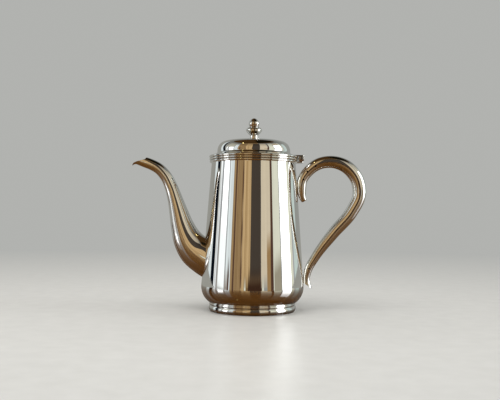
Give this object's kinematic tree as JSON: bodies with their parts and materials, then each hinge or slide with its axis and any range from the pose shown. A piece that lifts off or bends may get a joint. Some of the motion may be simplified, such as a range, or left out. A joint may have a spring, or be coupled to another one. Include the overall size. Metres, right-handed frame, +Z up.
{
  "type": "coffee pot",
  "caption": "Silver-plated coffee pot with a tapered body, swan-neck spout, hollow scroll handle and a hinged domed lid with a turned finial.",
  "frame": {"origin": "on the pot's vertical axis, in the plane that the foot ring stands on", "axes": "+Z up, the spout points along -X, the handle along +X, the hinge pin lies along Y"},
  "size_m": [0.2344, 0.1018, 0.192],
  "materials": {
    "silver_plate": "polished silver plate",
    "spout_plate": "polished silver plate",
    "handle_plate": "polished silver plate",
    "lid_plate": "polished silver plate",
    "finial_plate": "polished silver plate, tarnish in the grooves",
    "reeded_wire": "polished silver plate, tarnish in the grooves",
    "inner_plate": "satin silver plate",
    "hinge_metal": "polished silver plate",
    "nut_brass": "turned brass"
  },
  "bodies": {
    "pot": {"body_wall": "silver_plate", "base_plate": "silver_plate", "foot_ring": "reeded_wire", "rim_moulding": "reeded_wire", "spout_near_half": "spout_plate", "spout_far_half": "spout_plate", "handle_near_half": "handle_plate", "handle_far_half": "handle_plate", "hinge_body_leaf": "hinge_metal", "hinge_near_knuckle": "hinge_metal", "hinge_far_knuckle": "hinge_metal", "hinge_pin": "hinge_metal"},
    "lid": {"lid_dome": "lid_plate", "lid_edge_wire": "reeded_wire", "lid_bezel": "inner_plate", "finial": "finial_plate", "finial_washer": "nut_brass", "finial_nut": "nut_brass", "hinge_lid_leaf": "hinge_metal", "hinge_lid_knuckle": "hinge_metal"}
  },
  "joints": [
    {"name": "lid_hinge", "type": "hinge", "parent": "pot", "child": "lid", "pos_m": [0.0472, 0, 0.1512], "axis": [0, 1, 0], "range_deg": [0, 104]}
  ]
}
